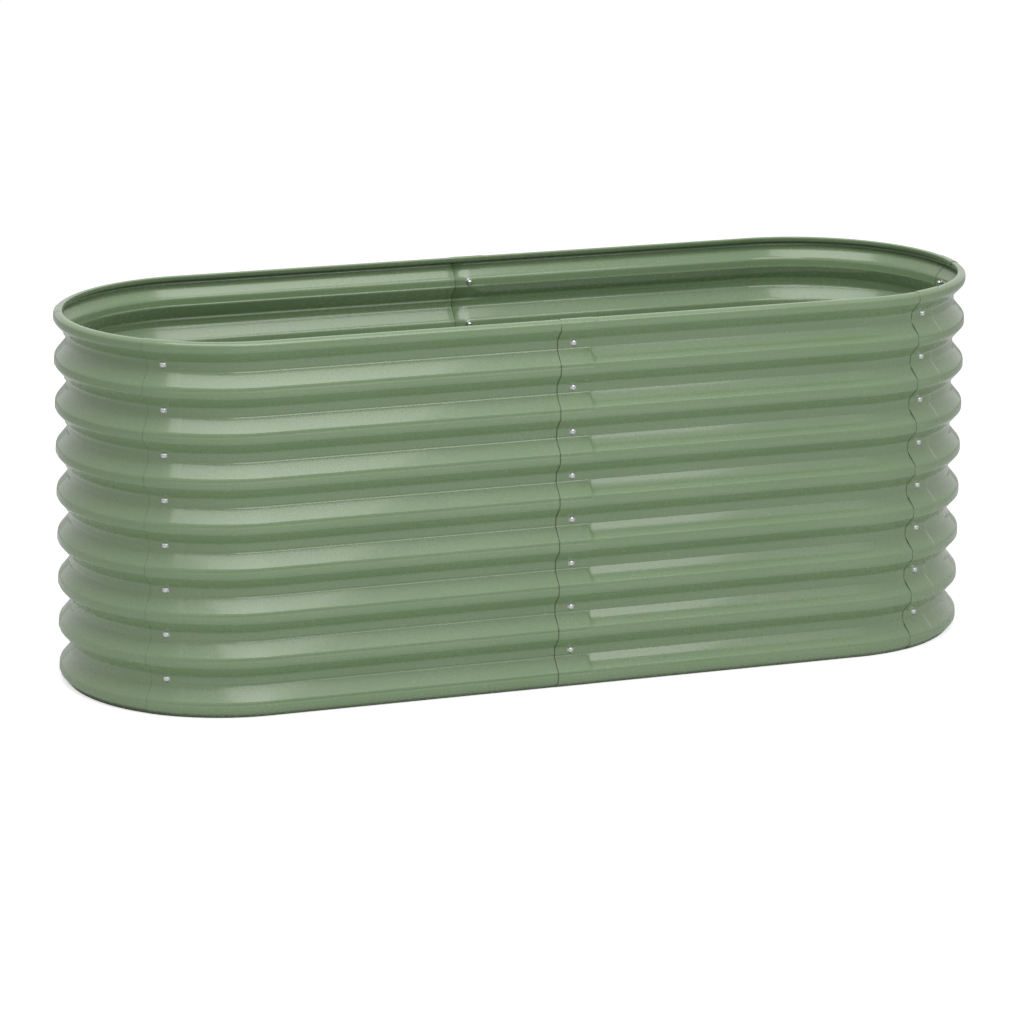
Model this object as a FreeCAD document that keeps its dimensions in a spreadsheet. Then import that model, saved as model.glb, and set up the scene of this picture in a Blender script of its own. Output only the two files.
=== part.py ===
import FreeCAD, Part
import math
import os

# Raised garden bed: six corrugated steel panels, lapped and bolted into an oval ring.
# X runs along the bed, the front faces -Y, Z is up and the origin is under the middle, on the ground.
# "reach" is a distance out from the upright axis of an end, or from the long centre plane on a side.

DIMENSIONS = [
    # the ring
    ("straight_half", 616.0, "from the middle of the bed to where each end starts to curve"),
    ("end_radius", 324.0, "over the crests of the curved ends, half of the width"),
    ("sheet_thickness", 0.8, "steel sheet"),
    # one corrugation
    ("corrugation_pitch", 88.0, "from one valley to the next"),
    ("corrugation_depth", 22.5, "from valley to crest"),
    ("row_count", 8, "valleys, each with one bolt in every seam"),
    ("valley_height", 19.0, "upright flat of a valley"),
    ("shoulder_height", 25.0, "slope that faces up, under a valley"),
    ("crest_height", 20.0, "upright flat of a crest"),
    ("bolt_above_crease", 12.0, "from a valley's lower crease up to its bolts"),
    # ends of the sheet
    ("first_row_height", 70.5, "lowest bolts above the ground"),
    ("rim_above_last_row", 49.5, "top of the rim above the highest bolts"),
    ("rim_inset", 11.5, "from over the crests in to the rim's highest line"),
    ("rim_width", 16.0, "from over the crests in to the lip that hangs inside"),
    ("rim_drop", 9.0, "from the highest line down to the end of its round outside and of its lip inside"),
    ("lip_bend", 2.5, "size of the slanted fold at the lip"),
    # seams round the ends, as degrees from where the right end's curve leaves the front
    # and from where the left end's curve leaves the back
    ("right_end_front_angle", 27.0, "seam on the right end's front"),
    ("right_end_middle_angle", 88.0, "seam by the tip of the right end"),
    ("left_end_middle_angle", 72.0, "seam by the tip of the left end"),
    ("left_end_front_angle", 142.0, "seam on the left end's front"),
    ("lap_outside", 33.0, "from the bolts to the edge that shows outside"),
    ("lap_inside", 30.0, "from the bolts to the edge that shows inside"),
    ("joggle_gap", 2.0, "from the inner edge to the step that clears it"),
    ("joggle_length", 8.0, "run of the step"),
    ("lap_clearance", 0.1, "between two lapped sheets"),
    # bolts, washers and nuts
    ("neck_width", 6.0, "square neck and shank of a coach bolt"),
    ("hole_clearance", 0.5, "square holes over the necks"),
    ("head_radius", 6.2, "bolt head"),
    ("head_height", 3.2, "bolt head"),
    ("washer_radius", 6.5, "washer under a nut"),
    ("washer_thickness", 1.2, "washer under a nut"),
    ("nut_radius", 5.8, "across the corners of a nut"),
    ("nut_height", 5.0, "nut"),
    ("nut_clearance", 0.1, "behind a washer or nut, and between its bore and the shank"),
    ("shank_beyond_nut", 1.5, "shank showing past the nut"),
]
RIM_FACETS = 2  # flats round the outside of the rim
HEAD_SIDES = 8
WASHER_SIDES = 8
NUT_SIDES = 6
HOLE_VOLUME_ERROR = 0.05  # share of a hole's volume that the curve of the wall may add

document = FreeCAD.newDocument("raised_garden_bed")
sheet = document.addObject("Spreadsheet::Sheet", "sizes")
for row, (name, value, meaning) in enumerate(DIMENSIONS, start=1):
    sheet.set("A%d" % row, name)
    sheet.set("B%d" % row, str(value))
    sheet.set("C%d" % row, meaning)
    sheet.setAlias("B%d" % row, name)
document.recompute()


def size(name):
    """A driving dimension, read from the sheet."""
    return float(getattr(sheet, name))


valley_reach = size("end_radius") - size("corrugation_depth")
last_row_height = size("first_row_height") + (size("row_count") - 1) * size("corrugation_pitch")
rim_height = last_row_height + size("rim_above_last_row")


# ---- the section of the sheet ----


def wall_path():
    """The outer face of a plain sheet from the ground to the lip of its rim, as (reach, height) points."""
    crest = valley_reach + size("corrugation_depth")
    underside = (
        size("corrugation_pitch") - size("valley_height") - size("shoulder_height") - size("crest_height")
    )
    points = []
    for row in range(int(size("row_count"))):
        bolt_height = size("first_row_height") + row * size("corrugation_pitch")
        crease = bolt_height - size("bolt_above_crease")
        crest_top = crease - size("shoulder_height")
        crest_foot = crest_top - size("crest_height")
        points += [(crest, crest_foot), (crest, crest_top), (valley_reach, crease)]
        points.append((valley_reach, crease + size("valley_height")))
    first_crest = points[0]
    ground_reach = crest - first_crest[1] * size("corrugation_depth") / underside
    points.insert(0, (ground_reach, 0.0))
    points.append((crest, points[-1][1] + underside))
    for turn in range(RIM_FACETS + 1):
        angle = math.pi / 2 * turn / RIM_FACETS
        reach = crest - size("rim_inset") * (1 - math.cos(angle))
        points.append((reach, rim_height - size("rim_drop") * (1 - math.sin(angle))))
    lip = crest - size("rim_width")
    points += [(lip + size("lip_bend"), rim_height), (lip, rim_height - size("lip_bend"))]
    points.append((lip, rim_height - size("rim_drop")))
    return points


def shifted(path, distance):
    """The path moved outwards by a distance, square to each of its runs. It still starts on the ground."""
    runs = []
    for (reach_a, height_a), (reach_b, height_b) in zip(path, path[1:]):
        length = math.hypot(reach_b - reach_a, height_b - height_a)
        out_reach = (height_b - height_a) / length
        out_height = -(reach_b - reach_a) / length
        runs.append((out_reach, out_height, out_reach * reach_a + out_height * height_a + distance))
    ground_run = runs[0]
    moved = [(ground_run[2] / ground_run[0], 0.0)]
    for (reach_a, height_a, level_a), (reach_b, height_b, level_b) in zip(runs, runs[1:]):
        cross = reach_a * height_b - reach_b * height_a
        reach = (level_a * height_b - level_b * height_a) / cross
        height = (reach_a * level_b - reach_b * level_a) / cross
        moved.append((reach, height))
    end_run = runs[-1]
    moved.append((path[-1][0] + distance * end_run[0], path[-1][1] + distance * end_run[1]))
    return moved


def sheet_section(inner_face):
    """The sheet's closed outline. Its inner face stands inner_face out from a plain sheet's outer face."""
    outer = shifted(wall_path(), inner_face + size("sheet_thickness"))
    inner = shifted(wall_path(), inner_face)
    return outer + inner[::-1]


PLAIN = -size("sheet_thickness")
LAPPED = size("lap_clearance")


# ---- features ----


def origin_plane(body, role):
    for feature in body.Origin.OriginFeatures:
        if feature.Role == role:
            return feature
    raise ValueError("no plane called " + role)


def closed_outline(sketch, points):
    corners = [FreeCAD.Vector(across, up, 0) for across, up in points]
    lines = [Part.LineSegment(a, b) for a, b in zip(corners, corners[1:] + corners[:1])]
    sketch.addGeometry(lines, False)


def section_sketch(body, name, inner_face, run, degrees):
    """The sheet's section across the wall: run along X from the middle, or degrees round the end."""
    sketch = body.newObject("Sketcher::SketchObject", name)
    sketch.AttachmentSupport = [(origin_plane(body, "YZ_Plane"), "")]
    sketch.MapMode = "FlatFace"
    turn = FreeCAD.Rotation(FreeCAD.Vector(0, 1, 0), 0)
    sketch.AttachmentOffset = FreeCAD.Placement(FreeCAD.Vector(0, 0, 0), turn)
    sketch.setExpression("AttachmentOffset.Base.z", run)
    sketch.setExpression("AttachmentOffset.Rotation.Angle", degrees)
    closed_outline(sketch, [(-reach, height) for reach, height in sheet_section(inner_face)])
    return sketch


def straight_run(body, name, sketch, length):
    pad = body.newObject("PartDesign::Pad", name)
    pad.Profile = sketch
    pad.setExpression("Length", length)
    return pad


def curved_run(body, name, sketch, degrees):
    bend = body.newObject("PartDesign::Revolution", name)
    bend.Profile = sketch
    bend.ReferenceAxis = (sketch, ["V_Axis"])
    bend.setExpression("Angle", degrees)
    return bend


def joggle(body, name, lapped, plain):
    """The step by which a panel's end climbs over its neighbour."""
    loft = body.newObject("PartDesign::AdditiveLoft", name)
    loft.Profile = lapped
    loft.Sections = [plain]
    loft.Ruled = True
    return loft


def bolt_holes(body, name, run, degrees):
    """A column of square holes, one in every valley of a seam."""
    sketch = body.newObject("Sketcher::SketchObject", name + "_outline")
    sketch.AttachmentSupport = [(origin_plane(body, "XZ_Plane"), "")]
    sketch.MapMode = "FlatFace"
    turn = FreeCAD.Rotation(FreeCAD.Vector(0, 1, 0), 0)
    sketch.AttachmentOffset = FreeCAD.Placement(FreeCAD.Vector(0, 0, 0), turn)
    sketch.setExpression("AttachmentOffset.Base.x", run)
    sketch.setExpression("AttachmentOffset.Rotation.Angle", degrees)
    half = (size("neck_width") + size("hole_clearance")) / 2
    low = size("first_row_height") - half
    high = size("first_row_height") + half
    closed_outline(sketch, [(-half, low), (half, low), (half, high), (-half, high)])
    document.recompute()
    before = body.Shape.Volume
    pocket = body.newObject("PartDesign::Pocket", name)
    pocket.Profile = sketch
    pocket.Reversed = True
    pocket.setExpression("Length", "sizes.end_radius + sizes.lap_outside")
    pattern = body.newObject("PartDesign::LinearPattern", name + "_column")
    pattern.Originals = [pocket]
    pattern.Direction = (sketch, ["V_Axis"])
    pattern.setExpression("Length", "(sizes.row_count - 1) * sizes.corrugation_pitch")
    pattern.setExpression("Occurrences", "sizes.row_count")
    body.Tip = pattern
    document.recompute()
    hole = (2 * half) ** 2 * size("sheet_thickness") * size("row_count")
    if abs(before - body.Shape.Volume - hole) > HOLE_VOLUME_ERROR * hole:
        raise ValueError("holes missed the sheet in " + body.Label)


# ---- panels ----

MID_REACH = "(sizes.end_radius - sizes.corrugation_depth / 2)"
END = "sizes.straight_half"


def arc(length):
    """The angle that a length takes up round an end, as an expression in degrees."""
    return "(180 / pi * (%s) / %s)" % (length, MID_REACH)


# Runs along a panel, from its bolts: to the top of the step, to its foot, and over the whole lap.
TO_STEP = "sizes.lap_inside + sizes.joggle_gap"
PAST_STEP = TO_STEP + " + sizes.joggle_length"
LAP = "sizes.lap_outside + " + TO_STEP


def lapped_start_on_side(body):
    """The end of a panel that lies over its neighbour at the middle of a side."""
    edge = section_sketch(body, "lap_edge", LAPPED, "-sizes.lap_outside", "0")
    straight_run(body, "lap", edge, LAP)
    step_top = section_sketch(body, "step_top", LAPPED, TO_STEP, "0")
    step_foot = section_sketch(body, "step_foot", PLAIN, PAST_STEP, "0")
    joggle(body, "step", step_top, step_foot)


def lapped_start_on_end(body, seam):
    """The end of a panel that lies over its neighbour at a seam round an end."""
    edge_angle = "%s - %s" % (seam, arc("sizes.lap_outside"))
    top_angle = "%s + %s" % (seam, arc(TO_STEP))
    foot_angle = "%s + %s" % (seam, arc(PAST_STEP))
    edge = section_sketch(body, "lap_edge", LAPPED, END, edge_angle)
    curved_run(body, "lap", edge, arc(LAP))
    step_top = section_sketch(body, "step_top", LAPPED, END, top_angle)
    step_foot = section_sketch(body, "step_foot", PLAIN, END, foot_angle)
    joggle(body, "step", step_top, step_foot)
    return foot_angle


def side_panel_before_end(body, next_seam):
    """Half of a side, from the middle seam, and the curve that follows it up to the next seam."""
    lapped_start_on_side(body)
    foot = section_sketch(body, "side_section", PLAIN, PAST_STEP, "0")
    straight_run(body, "side", foot, "%s - (%s)" % (END, PAST_STEP))
    curve = section_sketch(body, "curve_section", PLAIN, END, "0")
    curved_run(body, "curve", curve, "%s + %s" % (next_seam, arc("sizes.lap_inside")))
    bolt_holes(body, "middle_holes", "0", "0")
    bolt_holes(body, "end_holes", END, next_seam)


def end_panel(body, seam, next_seam):
    """A curved panel from one seam of an end to the next."""
    foot_angle = lapped_start_on_end(body, seam)
    foot = section_sketch(body, "curve_section", PLAIN, END, foot_angle)
    curved_run(body, "curve", foot, "%s + %s - (%s)" % (next_seam, arc("sizes.lap_inside"), foot_angle))
    bolt_holes(body, "start_holes", END, seam)
    bolt_holes(body, "end_holes", END, next_seam)


def side_panel_after_end(body, seam):
    """The rest of the curve past a seam and the half side that follows it, up to the middle seam."""
    foot_angle = lapped_start_on_end(body, seam)
    foot = section_sketch(body, "curve_section", PLAIN, END, foot_angle)
    curved_run(body, "curve", foot, "180 - (%s)" % foot_angle)
    side = section_sketch(body, "side_section", PLAIN, END, "180")
    straight_run(body, "side", side, END + " + sizes.lap_inside")
    bolt_holes(body, "start_holes", END, seam)
    bolt_holes(body, "end_holes", "0", "180")


def new_body(label, degrees):
    """An empty piece, turned about the upright line through the middle of the bed."""
    body = document.addObject("PartDesign::Body", label)
    body.Label = label
    turn = FreeCAD.Rotation(FreeCAD.Vector(0, 0, 1), degrees)
    body.Placement = FreeCAD.Placement(FreeCAD.Vector(0, 0, 0), turn)
    return body


RIGHT_FRONT = "sizes.right_end_front_angle"
RIGHT_MIDDLE = "sizes.right_end_middle_angle"
LEFT_MIDDLE = "sizes.left_end_middle_angle"
LEFT_FRONT = "sizes.left_end_front_angle"

# Each panel is drawn on the right half of the ring; those of the left half are turned half a turn.
PANELS = [
    ("front_right_side_panel", 0, side_panel_before_end, (RIGHT_FRONT,)),
    ("right_end_front_panel", 0, end_panel, (RIGHT_FRONT, RIGHT_MIDDLE)),
    ("back_right_side_panel", 0, side_panel_after_end, (RIGHT_MIDDLE,)),
    ("back_left_side_panel", 180, side_panel_before_end, (LEFT_MIDDLE,)),
    ("left_end_front_panel", 180, end_panel, (LEFT_MIDDLE, LEFT_FRONT)),
    ("front_left_side_panel", 180, side_panel_after_end, (LEFT_FRONT,)),
]

nodes = []
for label, half_turn, make, seams in PANELS:
    panel = new_body(label, half_turn)
    make(panel, *seams)
    nodes.append(panel)


# ---- bolts, washers and nuts ----


def polygon(sides, radius, height):
    """Corners of an even polygon round (0, height), with a flat side down."""
    corners = []
    for corner in range(sides):
        angle = 2 * math.pi * (corner + 0.5) / sides - math.pi / 2
        corners.append((radius * math.cos(angle), height + radius * math.sin(angle)))
    return corners


def square(width, height):
    half = width / 2
    return [(-half, height - half), (half, height - half), (half, height + half), (-half, height + half)]


def seam_sketch(body, name, outlines, reach):
    """Outlines drawn across a seam's bolts, at a reach from the axis."""
    sketch = body.newObject("Sketcher::SketchObject", name)
    sketch.AttachmentSupport = [(origin_plane(body, "XZ_Plane"), "")]
    sketch.MapMode = "FlatFace"
    sketch.setExpression("AttachmentOffset.Base.z", reach)
    for points in outlines:
        closed_outline(sketch, points)
    return sketch


def column(body, features):
    """Repeats one fastener in every valley of its seam."""
    pattern = body.newObject("PartDesign::LinearPattern", "column")
    pattern.Originals = features
    pattern.Direction = (features[0].Profile[0], ["V_Axis"])
    pattern.setExpression("Length", "(sizes.row_count - 1) * sizes.corrugation_pitch")
    pattern.setExpression("Occurrences", "sizes.row_count")
    body.Tip = pattern


VALLEY = "sizes.end_radius - sizes.corrugation_depth"
HEAD_SEAT = VALLEY + " + sizes.lap_clearance + sizes.sheet_thickness"
WASHER_SEAT = VALLEY + " - sizes.sheet_thickness - sizes.nut_clearance"
NUT_SEAT = WASHER_SEAT + " - sizes.washer_thickness - sizes.nut_clearance"
SHANK = HEAD_SEAT + " - (" + NUT_SEAT + ") + sizes.nut_height + sizes.shank_beyond_nut"


def bolts(body):
    """Coach bolts: a low head outside, and a square neck and shank through both sheets."""
    body.AllowCompound = True
    row = size("first_row_height")
    head_corners = polygon(HEAD_SIDES, size("head_radius"), row)
    head_outline = seam_sketch(body, "head_outline", [head_corners], HEAD_SEAT)
    head = straight_run(body, "head", head_outline, "sizes.head_height")
    neck_outline = seam_sketch(body, "neck_outline", [square(size("neck_width"), row)], HEAD_SEAT)
    neck = straight_run(body, "neck", neck_outline, SHANK)
    neck.Reversed = True
    column(body, [head, neck])


def ring(body, outer, seat, height):
    """A washer or a nut: an outline with a bore over the shank, standing inwards from its seat."""
    body.AllowCompound = True
    bore = square(size("neck_width") + 2 * size("nut_clearance"), size("first_row_height"))
    outline = seam_sketch(body, "outline", [outer, bore], seat)
    solid = straight_run(body, "ring", outline, height)
    solid.Reversed = True
    column(body, [solid])


def washers(body):
    corners = polygon(WASHER_SIDES, size("washer_radius"), size("first_row_height"))
    ring(body, corners, WASHER_SEAT, "sizes.washer_thickness")


def nuts(body):
    corners = polygon(NUT_SIDES, size("nut_radius"), size("first_row_height"))
    ring(body, corners, NUT_SEAT, "sizes.nut_height")


# Each seam, where it lies on the right half of the ring, and whether it is turned to the left half.
SEAMS = [
    ("front", 0, "0", "0"),
    ("right_end_front", 0, END, RIGHT_FRONT),
    ("right_end_middle", 0, END, RIGHT_MIDDLE),
    ("back", 180, "0", "0"),
    ("left_end_middle", 180, END, LEFT_MIDDLE),
    ("left_end_front", 180, END, LEFT_FRONT),
]

for seam, half_turn, run, degrees in SEAMS:
    for kind, make in (("bolts", bolts), ("washers", washers), ("nuts", nuts)):
        body = new_body("%s_seam_%s" % (seam, kind), 0)
        body.setExpression("Placement.Base.x", "cos(%d) * %s" % (half_turn, run))
        body.setExpression("Placement.Rotation.Angle", "%s + %d" % (degrees, half_turn))
        make(body)
        nodes.append(body)


# ---- checks and files ----

document.recompute()
for item in document.Objects:
    if "Invalid" in item.State or "Error" in item.State:
        raise ValueError("%s failed: %s" % (item.Label, item.State))

os.makedirs("parts", exist_ok=True)
for node in nodes:
    shape = node.Shape
    if shape.isNull() or not shape.isValid():
        raise ValueError(node.Label + " has no valid shape")
    expected = 1 if node.Label.endswith("panel") else int(size("row_count"))
    if len(shape.Solids) != expected:
        raise ValueError("%s has %d solids" % (node.Label, len(shape.Solids)))
    print("%-28s %2d solids %12.1f mm3" % (node.Label, expected, shape.Volume))
    shape.exportStep("parts/%s.step" % node.Label)
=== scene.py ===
"""Raised garden bed: corrugated, lapped and bolted steel panels in a glossy sage green coat."""
import math

import bmesh
import bpy
from mathutils import Matrix, Vector

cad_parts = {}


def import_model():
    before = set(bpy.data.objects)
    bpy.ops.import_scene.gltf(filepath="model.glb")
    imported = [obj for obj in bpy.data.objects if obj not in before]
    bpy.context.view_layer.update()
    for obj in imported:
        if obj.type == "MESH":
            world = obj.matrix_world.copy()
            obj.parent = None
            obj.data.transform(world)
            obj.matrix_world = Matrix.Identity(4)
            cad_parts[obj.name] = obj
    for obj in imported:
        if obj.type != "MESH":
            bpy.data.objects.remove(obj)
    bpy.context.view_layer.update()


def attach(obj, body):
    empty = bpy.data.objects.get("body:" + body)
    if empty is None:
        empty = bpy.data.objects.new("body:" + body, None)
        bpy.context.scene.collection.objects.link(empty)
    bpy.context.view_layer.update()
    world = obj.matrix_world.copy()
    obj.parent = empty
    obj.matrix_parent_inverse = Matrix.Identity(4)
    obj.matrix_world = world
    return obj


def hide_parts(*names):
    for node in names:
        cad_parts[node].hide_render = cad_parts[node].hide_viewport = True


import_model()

# ---- sizes, in metres ----

HALF_STRAIGHT = 0.616
END_RADIUS = 0.324
SHEET = 0.0008
PITCH = 0.088
DEPTH = 0.0225
ROWS = 8
VALLEY_FLAT = 0.019
SHOULDER = 0.025
CREST_FLAT = 0.020
BOLT_ABOVE_CREASE = 0.012
FIRST_ROW = 0.0705
RIM_ABOVE_LAST_ROW = 0.0495
RIM_INSET = 0.0115
RIM_WIDTH = 0.016
RIM_DROP = 0.009
RIGHT_END_FRONT, RIGHT_END_MIDDLE = 27.0, 88.0
LEFT_END_MIDDLE, LEFT_END_FRONT = 72.0, 142.0
LAP_OUTSIDE = 0.033
LAP_INSIDE = 0.030
STEP_START = LAP_INSIDE + 0.002
STEP_END = STEP_START + 0.008
LAP_CLEARANCE = 0.0001
WASHER = 0.0012
SEAT_CLEARANCE = 0.0001

# The small forms at the creases: the sheet dips by GROOVE between two beads at a crest's top, and by NICK
# at the foot of a valley.
GROOVE = 0.0012
NICK = 0.0010
BEAD_DROP = 0.0095
VALLEY_FOOT = 0.0045
CREST_BEND = VALLEY_BEND = 0.014
FOOT_BEND = 0.0040
ROUND_BEND = 0.024

VALLEY_REACH = END_RADIUS - DEPTH
MID_REACH = END_RADIUS - DEPTH / 2
HALF_ROUND = math.pi * MID_REACH
HALF_LENGTH = 2 * HALF_STRAIGHT + HALF_ROUND
RIM_HEIGHT = FIRST_ROW + (ROWS - 1) * PITCH + RIM_ABOVE_LAST_ROW
RIM_FOOT = RIM_HEIGHT - 0.012


# ---- the section of the sheet ----

def crisp_row(crest_foot, crest_top, crease):
    """Sharp creases: two beads on the crest, and a nick over the shoulder.

    Each of a row's nine corners is (reach, height, bend radius), and each kind of row has all nine.
    """
    return [
        (END_RADIUS, crest_foot, CREST_BEND),
        (END_RADIUS, crest_top - BEAD_DROP, 0.0024),
        (END_RADIUS - GROOVE, crest_top - 0.0060, 0.0015),
        (END_RADIUS, crest_top - 0.0027, 0.0014),
        (END_RADIUS - 0.0003, crest_top, 0.0016),
        (VALLEY_REACH, crease - 0.0004, 0.0010),
        (VALLEY_REACH - NICK, crease + 0.0018, 0.0012),
        (VALLEY_REACH, crease + VALLEY_FOOT, FOOT_BEND),
        (VALLEY_REACH, crease + VALLEY_FLAT, VALLEY_BEND),
    ]


def soft_row(crest_foot, crest_top, crease):
    """A hollow shoulder that turns over a broad bead, under a slight nick."""
    hollow = (VALLEY_REACH + DEPTH * 0.42, crease - SHOULDER * 0.58)
    return [
        (END_RADIUS, crest_foot, CREST_BEND),
        (END_RADIUS, crest_top - BEAD_DROP, 0.0040),
        (END_RADIUS - GROOVE * 0.25, crest_top - 0.0065, 0.0040),
        (END_RADIUS, crest_top - 0.0040, 0.0040),
        (END_RADIUS - 0.0004, crest_top, 0.0035),
        (*hollow, 0.020),
        (VALLEY_REACH - NICK * 0.5, crease + 0.0010, 0.0010),
        (VALLEY_REACH, crease + VALLEY_FOOT, FOOT_BEND),
        (VALLEY_REACH, crease + VALLEY_FLAT, VALLEY_BEND),
    ]


def round_row(crest_foot, crest_top, crease):
    """The rounder corrugation of the curved ends."""
    return [
        (END_RADIUS, crest_foot + 0.002, ROUND_BEND),
        (END_RADIUS, crest_foot + 0.0065, ROUND_BEND),
        (END_RADIUS - 0.0003, crest_top - 0.0065, 0.014),
        (END_RADIUS - 0.0010, crest_top - 0.0030, 0.012),
        (END_RADIUS - 0.0026, crest_top, 0.012),
        (VALLEY_REACH + 0.0020, crease - 0.0030, 0.0080),
        (VALLEY_REACH - NICK * 0.3, crease + 0.0012, 0.0020),
        (VALLEY_REACH, crease + 0.0050, FOOT_BEND),
        (VALLEY_REACH, crease + VALLEY_FLAT, 0.016),
    ]


def wall_corners(row_shape):
    """The sheet's outer face from the ground up, as (reach, height, bend radius)."""
    corners = []
    for row in range(ROWS):
        crease = FIRST_ROW + row * PITCH - BOLT_ABOVE_CREASE
        crest_top = crease - SHOULDER
        corners += row_shape(crest_top - CREST_FLAT, crest_top, crease)
    underside = PITCH - VALLEY_FLAT - SHOULDER - CREST_FLAT
    foot = FIRST_ROW - BOLT_ABOVE_CREASE - SHOULDER - CREST_FLAT
    corners.insert(0, (END_RADIUS - foot * DEPTH / underside, 0.0, 0.0))
    lip = END_RADIUS - RIM_WIDTH
    corners += [
        (END_RADIUS, corners[-1][1] + underside, 0.010),
        (END_RADIUS, RIM_HEIGHT - RIM_DROP * 0.45, 0.008),
        (END_RADIUS - RIM_INSET * 0.6, RIM_HEIGHT, 0.008),
        (lip, RIM_HEIGHT, 0.0018),
        (lip, RIM_HEIGHT - RIM_DROP, 0.0),
    ]
    return corners


BEND_STEPS = 5
LEAST_BEND = 0.0004
MOST_OF_A_RUN = 0.45


def bent(corners):
    """The corners as points, each bend a curve tangent to its two runs and short enough for both."""
    points = [Vector(corners[0][:2])]
    for before, corner, after in zip(corners, corners[1:], corners[2:]):
        at = Vector(corner[:2])
        to_before, to_after = Vector(before[:2]) - at, Vector(after[:2]) - at
        back, on = to_before.normalized(), to_after.normalized()
        turn = math.pi - back.angle(on)
        room = MOST_OF_A_RUN * min(to_before.length, to_after.length)
        tangent = min(max(corner[2] * math.tan(turn / 2), LEAST_BEND), room)
        start, end = at + back * tangent, at + on * tangent
        for step in range(BEND_STEPS + 1):
            share = step / BEND_STEPS
            a, b = start.lerp(at, share), at.lerp(end, share)
            points.append(a.lerp(b, share))
    points.append(Vector(corners[-1][:2]))
    return points


def outward(points):
    """At each point, the unit vector out of the wall."""
    normals = []
    for index in range(len(points)):
        run = points[min(index + 1, len(points) - 1)] - points[max(index - 1, 0)]
        run.normalize()
        normals.append(Vector((run.y, -run.x)))
    return normals


SECTIONS = [bent(wall_corners(row_shape)) for row_shape in (crisp_row, soft_row, round_row)]


# ---- the ring ----

def seam_run(degrees):
    """How far along the ring a seam lies, from the middle of the front."""
    return HALF_STRAIGHT + math.radians(degrees) * MID_REACH


def place(run, reach, height):
    """A point of the wall, by how far along the ring and how far out it is."""
    if run <= HALF_STRAIGHT:
        return Vector((run, -reach, height))
    angle = (run - HALF_STRAIGHT) / MID_REACH
    if angle <= math.pi:
        return Vector((HALF_STRAIGHT + reach * math.sin(angle), -reach * math.cos(angle), height))
    return Vector((HALF_LENGTH - run, reach, height))


def smooth(low, high, value):
    """From 0 at low to 1 at high, easing in and out."""
    share = min(max((value - low) / (high - low), 0.0), 1.0)
    return share * share * (3 - 2 * share)


ROUNDING = 0.85
ROUNDING_STARTS, ROUNDING_FULL = -0.02, 0.35


def rounding(run):
    """How far the section is the round one: not at all on the sides, and most round an end's tip."""
    into_the_end = min(run - HALF_STRAIGHT, HALF_STRAIGHT + HALF_ROUND - run)
    return ROUNDING * smooth(ROUNDING_STARTS, ROUNDING_FULL, into_the_end)


SIDE_SPACING = 0.04
END_SPACING = math.radians(2.0) * MID_REACH
STEP_ROWS = 6
LEAST_SPACING = 0.0007


def panel_runs(start, end, next_lap):
    """Where a panel's mesh has its rows of points: close on bends, steps and edges, wide on the straights."""
    runs = [start, start + 0.0015, start + 0.004, start + 0.010, next_lap - 0.004, next_lap, end]
    first_seam = start + LAP_OUTSIDE
    step_row = (STEP_END - STEP_START) / STEP_ROWS
    runs += [first_seam + STEP_START + row * step_row for row in range(STEP_ROWS + 1)]
    run = start
    while run < end:
        runs.append(run)
        on_end = HALF_STRAIGHT <= run < HALF_STRAIGHT + HALF_ROUND
        run += END_SPACING if on_end else SIDE_SPACING
        for corner in (HALF_STRAIGHT, HALF_STRAIGHT + HALF_ROUND):
            if not on_end and run - SIDE_SPACING < corner < run:
                run = corner
    runs = sorted(run for run in runs if start <= run <= end)
    kept = runs[:1]
    for run in runs[1:]:
        if run - kept[-1] > LEAST_SPACING:
            kept.append(run)
    kept[-1] = end
    return kept


def new_piece(name, mesh, body="root"):
    piece = bpy.data.objects.new(name, mesh)
    bpy.context.scene.collection.objects.link(piece)
    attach(piece, body)
    return piece


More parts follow.
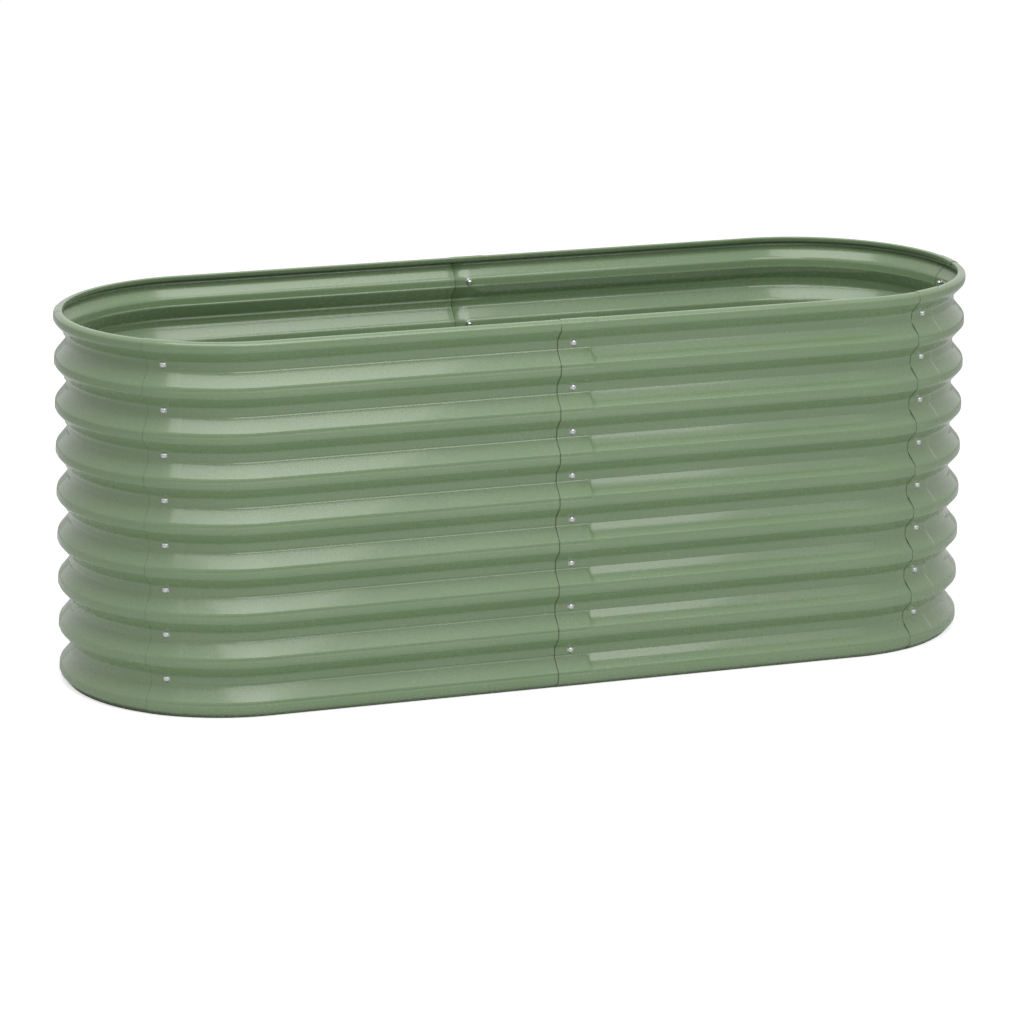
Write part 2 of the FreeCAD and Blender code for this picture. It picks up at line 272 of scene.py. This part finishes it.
def panel(name, turned, seam, next_seam, shades, soft, finishes):
    """One corrugated sheet, from its lapping edge to the end under its neighbour.

    Its "laps" coordinates are the distances to the sheets' edges that show on its outer and inner faces.
    """
    start, end, next_lap = seam - LAP_OUTSIDE, next_seam + LAP_INSIDE, next_seam - LAP_OUTSIDE
    runs = panel_runs(start, end, next_lap)
    crisp_section, soft_section, round_section = SECTIONS
    crisp_out, soft_out, round_out = (outward(section) for section in SECTIONS)
    points_up = len(crisp_section)
    shape = bmesh.new()
    bmesh.ops.create_grid(shape, x_segments=len(runs) - 1, y_segments=points_up - 1, size=1.0)
    laps = shape.loops.layers.uv.new("laps")
    half_turn = Matrix.Rotation(math.pi, 3, "Z") if turned else Matrix.Identity(3)
    lines = {}
    for vert in shape.verts:
        across = round((vert.co.x + 1) / 2 * (len(runs) - 1))
        up = round((vert.co.y + 1) / 2 * (points_up - 1))
        run = runs[across]
        lapped = 1 - smooth(seam + STEP_START, seam + STEP_END, run)
        under = smooth(next_lap, next_lap + STEP_END - STEP_START, run)
        crisp = max(lapped, under) if soft else 1.0
        rounded = rounding(run)
        reach, height = soft_section[up].lerp(crisp_section[up], crisp).lerp(round_section[up], rounded)
        out = soft_out[up].lerp(crisp_out[up], crisp).lerp(round_out[up], rounded).normalized()
        lift = lapped * (LAP_CLEARANCE + SHEET)
        if up == 0:
            out = Vector((out.x, 0.0))
        vert.co = half_turn @ place(run, reach + lift * out.x, height + lift * out.y)
        outer_edges = (run - start) / shades[0], abs(next_lap - run) / shades[1]
        lines[vert.index] = (min(outer_edges), end - run)
    for face in shape.faces:
        face.smooth = True
        for loop in face.loops:
            loop[laps].uv = lines[loop.vert.index]
    mesh = bpy.data.meshes.new(name)
    shape.to_mesh(mesh)
    shape.free()
    piece = new_piece(name + "_sheet", mesh)
    for finish in finishes:
        mesh.materials.append(finish)
    wall = piece.modifiers.new("sheet", "SOLIDIFY")
    wall.thickness = SHEET
    wall.offset = -1
    wall.use_even_offset = True
    wall.material_offset = 1
    wall.material_offset_rim = 2
    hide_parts(name)
    return piece


# ---- bolts, washers and nuts ----

AROUND = 24
DOME_STEPS = 7
WELD = 1e-6
BOLT_SEAT_RADIUS, BOLT_SEAT_HEIGHT = 0.0070, 0.0004
BOLT_RADIUS, BOLT_HEIGHT, BOLT_FOOT = 0.0060, 0.0042, 0.0009
WASHER_BORE, WASHER_RIM, WASHER_BEVEL = 0.0032, 0.0065, 0.0003
NUT_RADIUS, NUT_HEIGHT, NUT_FOOT = 0.0052, 0.0078, 0.0030
TURN_FROM_ROW_TO_ROW = 37


def turned_piece(profile):
    """A shape turned about +Z from (radius, height) points, off the axis or from the axis to the axis."""
    shape = bmesh.new()
    verts = [shape.verts.new((radius, 0, height)) for radius, height in profile]
    round_the_axis = profile[0][0] > 0
    edges = [shape.edges.new(pair) for pair in zip(verts, verts[1:] + verts[:1] * round_the_axis)]
    bmesh.ops.spin(
        shape, geom=verts + edges, cent=(0, 0, 0), axis=(0, 0, 1), dvec=(0, 0, 0),
        angle=2 * math.pi, steps=AROUND, use_merge=True, use_duplicate=False,
    )
    bmesh.ops.remove_doubles(shape, verts=shape.verts, dist=WELD)
    bmesh.ops.recalc_face_normals(shape, faces=shape.faces)
    for face in shape.faces:
        face.smooth = True
    return shape


def dome(radius, height, foot):
    """Half of a low dome's outline, from its edge to the axis, over a short upright foot."""
    points = [(radius, 0.0), (radius, foot)]
    for step in range(1, DOME_STEPS + 1):
        angle = math.pi / 2 * step / DOME_STEPS
        across = radius * math.cos(angle) if step < DOME_STEPS else 0.0
        points.append((across, foot + (height - foot) * math.sin(angle)))
    return points


def bolt_shape():
    """A domed head on a thin seat, a little wider."""
    seat = [(0.0, 0.0), (BOLT_SEAT_RADIUS, 0.0), (BOLT_SEAT_RADIUS, BOLT_SEAT_HEIGHT)]
    return turned_piece(seat + dome(BOLT_RADIUS, BOLT_HEIGHT, BOLT_FOOT))


def washer_shape():
    return turned_piece([
        (WASHER_BORE, 0.0), (WASHER_RIM, 0.0), (WASHER_RIM, WASHER - WASHER_BEVEL),
        (WASHER_RIM - WASHER_BEVEL, WASHER), (WASHER_BORE, WASHER),
    ])


def nut_shape():
    return turned_piece([(0.0, 0.0)] + dome(NUT_RADIUS, NUT_HEIGHT, NUT_FOOT))


def fasteners(name, template, seam, turned, reach, facing, finish):
    """A column of bolt heads, washers or nuts, one in every valley of a seam."""
    shape = bmesh.new()
    mesh = bpy.data.meshes.new(name)
    template.to_mesh(mesh)
    half_turn = Matrix.Rotation(math.pi, 4, "Z") if turned else Matrix.Identity(4)
    out = (place(seam, 1.0, 0) - place(seam, 0.0, 0)).normalized() * facing
    turn = out.to_track_quat("Z", "Y").to_matrix().to_4x4()
    for row in range(ROWS):
        seat = place(seam, reach, FIRST_ROW + row * PITCH)
        spin = Matrix.Rotation(math.radians(TURN_FROM_ROW_TO_ROW * row), 4, "Z")
        before = len(shape.verts)
        shape.from_mesh(mesh)
        shape.verts.ensure_lookup_table()
        bmesh.ops.transform(
            shape, matrix=half_turn @ Matrix.Translation(seat) @ turn @ spin, verts=shape.verts[before:]
        )
    shape.to_mesh(mesh)
    shape.free()
    mesh.materials.append(finish)
    piece = new_piece(name + "_turned", mesh)
    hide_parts(name)
    return piece


# ---- finishes ----

class Socket:
    """A shader value with Python's own maths."""

    def __init__(self, finish, socket):
        self.finish, self.socket = finish, socket

    def maths(self, operation, *others):
        inputs = dict(enumerate((self, *others)))
        return self.finish.node("ShaderNodeMath", {"operation": operation}, inputs).out()

    def __add__(self, other):
        return self.maths("ADD", other)

    def __mul__(self, other):
        return self.maths("MULTIPLY", other)

    def __truediv__(self, other):
        return self.maths("DIVIDE", other)

    def __rsub__(self, other):
        return self.finish.value(other).maths("SUBTRACT", self)

    def clamped(self):
        return self.maths("MINIMUM", 1.0).maths("MAXIMUM", 0.0)

    def below(self, limit):
        return self.maths("LESS_THAN", limit)


class Node:
    def __init__(self, finish, node):
        self.finish, self.node = finish, node

    def out(self, name=0):
        return Socket(self.finish, self.node.outputs[name])


class Finish:
    """A node material."""

    def __init__(self, name):
        self.material = bpy.data.materials.new(name)
        self.material.use_nodes = True
        self.tree = self.material.node_tree
        self.tree.nodes.clear()

    def node(self, kind, settings=(), inputs=()):
        node = self.tree.nodes.new(kind)
        for key, value in dict(settings).items():
            setattr(node, key, value)
        for key, value in dict(inputs).items():
            if isinstance(value, Socket):
                self.tree.links.new(value.socket, node.inputs[key])
            else:
                node.inputs[key].default_value = value
        return Node(self, node)

    def value(self, number):
        node = self.node("ShaderNodeValue")
        node.node.outputs[0].default_value = number
        return node.out()

    def ramp(self, factor, stops):
        node = self.node("ShaderNodeValToRGB", {}, {0: factor})
        elements = node.node.color_ramp.elements
        while len(elements) < len(stops):
            elements.new(0.5)
        for element, (position, shade) in zip(elements, stops):
            element.position = position
            element.color = (shade, shade, shade, 1)
        return node.out()

    def mix(self, factor, first, second):
        settings = {"data_type": "RGBA", "blend_type": "MIX"}
        return self.node("ShaderNodeMix", settings, {0: factor, 6: first, 7: second}).out(2)

    def place(self):
        return self.node("ShaderNodeTexCoord").out("Object")

    def part(self, vector, axis):
        return self.node("ShaderNodeSeparateXYZ", {}, {0: vector}).out(axis)

    def noise(self, scale, detail=2.0, roughness=0.5, stretch=(1, 1, 1)):
        mapped = self.node("ShaderNodeMapping", {}, {"Vector": self.place(), "Scale": stretch}).out()
        inputs = {"Vector": mapped, "Scale": scale, "Detail": detail, "Roughness": roughness}
        return self.node("ShaderNodeTexNoise", {}, inputs).out(0)

    def surface(self, shader):
        self.node("ShaderNodeOutputMaterial", {}, {"Surface": shader})
        return self.material


SAGE = (0.205, 0.300, 0.160, 1)
SAGE_PALE = (0.235, 0.335, 0.190, 1)
SAGE_DEEP = (0.188, 0.282, 0.146, 1)
SEAM_SHADOW = (0.030, 0.055, 0.025, 1)
EDGE_DARK, EDGE_PALE = (0.13, 0.19, 0.10, 1), (0.20, 0.29, 0.16, 1)
ZINC_DARK, ZINC_PALE = (0.52, 0.53, 0.54, 1), (0.74, 0.75, 0.76, 1)
SHADOW_WIDTH = 0.0016
RIPPLE_HEIGHT = 0.00012


def painted(name, line):
    """The glossy green coat. line says which of the lap distances marks a sheet's edge on this face.

    The painted shadow along a sheet's edge stops at the foot of the rim.
    """
    finish = Finish(name)
    cloud = finish.noise(3.0, 3.0, 0.5, (1, 1, 2))
    fine = finish.noise(90.0, 2.0, 0.6)
    colour = finish.mix(finish.ramp(cloud, [(0.35, 0.0), (0.65, 1.0)]), SAGE_DEEP, SAGE)
    colour = finish.mix(finish.ramp(fine, [(0.40, 0.0), (0.75, 1.0)]) * 0.10, colour, SAGE_PALE)
    distances = finish.node("ShaderNodeUVMap", {"uv_map": "laps"}).out()
    height = finish.part(finish.place(), 2)
    # Painted shadow: the coat darkens to SEAM_SHADOW in a thin line along each lapped sheet edge, in place of
    # the shade in the gap.
    edge = (1 - (finish.part(distances, line) / SHADOW_WIDTH).clamped()) * height.below(RIM_FOOT)
    colour = finish.mix(edge * 0.9, colour, SEAM_SHADOW)
    roughness = cloud * 0.05 + fine * 0.05 + 0.22 + edge * 0.3
    ripple = finish.noise(14.0, 2.0, 0.5, (0.35, 0.35, 1.0))
    relief = ripple * RIPPLE_HEIGHT
    bump = finish.node("ShaderNodeBump", {}, {"Strength": 0.35, "Distance": 1.0, "Height": relief}).out()
    paint = finish.node("ShaderNodeBsdfPrincipled", {}, {
        "Base Color": colour, "Roughness": roughness, "Metallic": 0.0, "IOR": 1.5,
        "Coat Weight": 0.6, "Coat Roughness": 0.08, "Normal": bump,
    }).out()
    return finish.surface(paint)


def cut_edge():
    """The sheared edge of the sheet, thinly covered."""
    finish = Finish("cut_edge")
    cloud = finish.noise(60.0, 3.0, 0.6)
    colour = finish.mix(cloud, EDGE_DARK, EDGE_PALE)
    roughness = cloud * 0.2 + 0.4
    paint = finish.node("ShaderNodeBsdfPrincipled", {}, {"Base Color": colour, "Roughness": roughness}).out()
    return finish.surface(paint)


def zinc():
    """Bright zinc plate with a slight cloudiness."""
    finish = Finish("zinc")
    cloud = finish.noise(300.0, 3.0, 0.6)
    colour = finish.mix(cloud, ZINC_DARK, ZINC_PALE)
    roughness = cloud * 0.10 + 0.08
    bump = finish.node("ShaderNodeBump", {}, {"Strength": 0.2, "Distance": 0.001, "Height": cloud}).out()
    plate = finish.node("ShaderNodeBsdfPrincipled", {}, {
        "Base Color": colour, "Roughness": roughness, "Metallic": 1.0, "Normal": bump,
    }).out()
    return finish.surface(plate)


# ---- assembly ----

outside = painted("painted_outside", 0)
inside = painted("painted_inside", 1)
finishes = (outside, inside, cut_edge())
plated = zinc()

# Each seam: where it lies, from the middle of the front, or of the back where it is turned round,
# whether it is turned round, and how broad a shadow its outer edge has.
FRONT = BACK = 0.0
BROAD, FAINT = 1.0, 0.2
SEAMS = {
    "front": (FRONT, False, BROAD),
    "right_end_front": (seam_run(RIGHT_END_FRONT), False, FAINT),
    "right_end_middle": (seam_run(RIGHT_END_MIDDLE), False, FAINT),
    "back": (BACK, True, BROAD),
    "left_end_middle": (seam_run(LEFT_END_MIDDLE), True, FAINT),
    "left_end_front": (seam_run(LEFT_END_FRONT), True, FAINT),
}
# Each panel, the seams that it runs between, and whether its bends are softer.
PANELS = [
    ("front_right_side_panel", "front", "right_end_front", True),
    ("right_end_front_panel", "right_end_front", "right_end_middle", True),
    ("back_right_side_panel", "right_end_middle", "back", True),
    ("back_left_side_panel", "back", "left_end_middle", False),
    ("left_end_front_panel", "left_end_middle", "left_end_front", False),
    ("front_left_side_panel", "left_end_front", "front", False),
]
for name, seam, next_seam, soft in PANELS:
    start, turned, shade = SEAMS[seam]
    end, _, next_shade = SEAMS[next_seam]
    # A panel that ends at the front or back has run half round the ring.
    panel(name, turned, start, end or HALF_LENGTH, (shade, next_shade), soft, finishes)

bolt, washer, nut = bolt_shape(), washer_shape(), nut_shape()
bolt_seat = VALLEY_REACH + LAP_CLEARANCE + SHEET
washer_seat = VALLEY_REACH - SHEET - SEAT_CLEARANCE
nut_seat = washer_seat - WASHER - SEAT_CLEARANCE
for name, (run, turned, _) in SEAMS.items():
    fasteners(name + "_seam_bolts", bolt, run, turned, bolt_seat, 1, plated)
    fasteners(name + "_seam_washers", washer, run, turned, washer_seat, -1, plated)
    fasteners(name + "_seam_nuts", nut, run, turned, nut_seat, -1, plated)


# ---- floor, light and camera ----

FLOOR_HALF_WIDTH = 40.0
FLOOR_WHITE = (0.86, 0.86, 0.86, 1)
FLOOR_GLOW_SEEN = 0.62
WORLD_LEVEL, WORLD_SEEN_LEVEL = 0.55, 1.0
LIGHTS_AIM = (0.0, 0.0, 0.4)


def floor():
    """A pale floor that the camera sees as white, apart from the bed's shadow."""
    shape = bmesh.new()
    bmesh.ops.create_grid(shape, x_segments=1, y_segments=1, size=FLOOR_HALF_WIDTH)
    mesh = bpy.data.meshes.new("floor")
    shape.to_mesh(mesh)
    shape.free()
    piece = bpy.data.objects.new("floor", mesh)
    bpy.context.scene.collection.objects.link(piece)
    finish = Finish("white_floor")
    white = finish.node("ShaderNodeBsdfDiffuse", {}, {"Color": FLOOR_WHITE}).out()
    seen = finish.node("ShaderNodeLightPath").out("Is Camera Ray")
    glow = finish.node("ShaderNodeEmission", {}, {"Strength": seen * FLOOR_GLOW_SEEN}).out()
    lit = finish.node("ShaderNodeAddShader", {}, {0: white, 1: glow}).out()
    mesh.materials.append(finish.surface(lit))


def world():
    """White to the camera and in reflections; a plain level of light for the rest."""
    surround = bpy.data.worlds.new("studio")
    surround.use_nodes = True
    nodes, links = surround.node_tree.nodes, surround.node_tree.links
    nodes.clear()
    path = nodes.new("ShaderNodeLightPath")
    seen = nodes.new("ShaderNodeMath")
    seen.operation = "MAXIMUM"
    links.new(path.outputs["Is Camera Ray"], seen.inputs[0])
    links.new(path.outputs["Is Glossy Ray"], seen.inputs[1])
    level = nodes.new("ShaderNodeMapRange")
    level.inputs["To Min"].default_value = WORLD_LEVEL
    level.inputs["To Max"].default_value = WORLD_SEEN_LEVEL
    links.new(seen.outputs[0], level.inputs["Value"])
    background = nodes.new("ShaderNodeBackground")
    links.new(level.outputs[0], background.inputs["Strength"])
    out = nodes.new("ShaderNodeOutputWorld")
    links.new(background.outputs[0], out.inputs["Surface"])
    bpy.context.scene.world = surround


def softbox(name, where, width, height, level):
    """An even panel of light whose face has the given brightness, white being 1."""
    data = bpy.data.lights.new(name, "AREA")
    data.shape = "RECTANGLE"
    data.size, data.size_y = width, height
    data.energy = level * math.pi * width * height
    lamp = bpy.data.objects.new(name, data)
    lamp.location = where
    lamp.rotation_euler = (Vector(LIGHTS_AIM) - Vector(where)).to_track_quat("-Z", "Y").to_euler()
    bpy.context.scene.collection.objects.link(lamp)


def camera():
    """The photograph's view: a long lens, a little to the left and above."""
    azimuth, elevation, roll = math.radians(-20.16), math.radians(14.69), math.radians(0.41)
    target, distance, lens = Vector((-0.013, 0.0, 0.2754)), 9.302, 163.0
    back = Vector((
        math.sin(azimuth) * math.cos(elevation), -math.cos(azimuth) * math.cos(elevation), math.sin(elevation)
    ))
    data = bpy.data.cameras.new("camera")
    data.lens = lens
    data.sensor_width = 36.0
    data.clip_end = 100.0
    eye = bpy.data.objects.new("camera", data)
    eye.rotation_mode = "QUATERNION"
    eye.location = target + back * distance
    level = (-back).to_track_quat("-Z", "Y").to_matrix()
    eye.rotation_quaternion = (level @ Matrix.Rotation(roll, 3, "Z")).to_quaternion()
    bpy.context.scene.collection.objects.link(eye)
    bpy.context.scene.camera = eye


floor()
world()
softbox("overhead", (-0.6, -0.9, 3.6), width=3.2, height=2.2, level=2.8)
softbox("front", (0.6, -4.2, 3.6), width=3.6, height=1.6, level=3.2)
camera()
bpy.context.scene.view_settings.view_transform = "Standard"
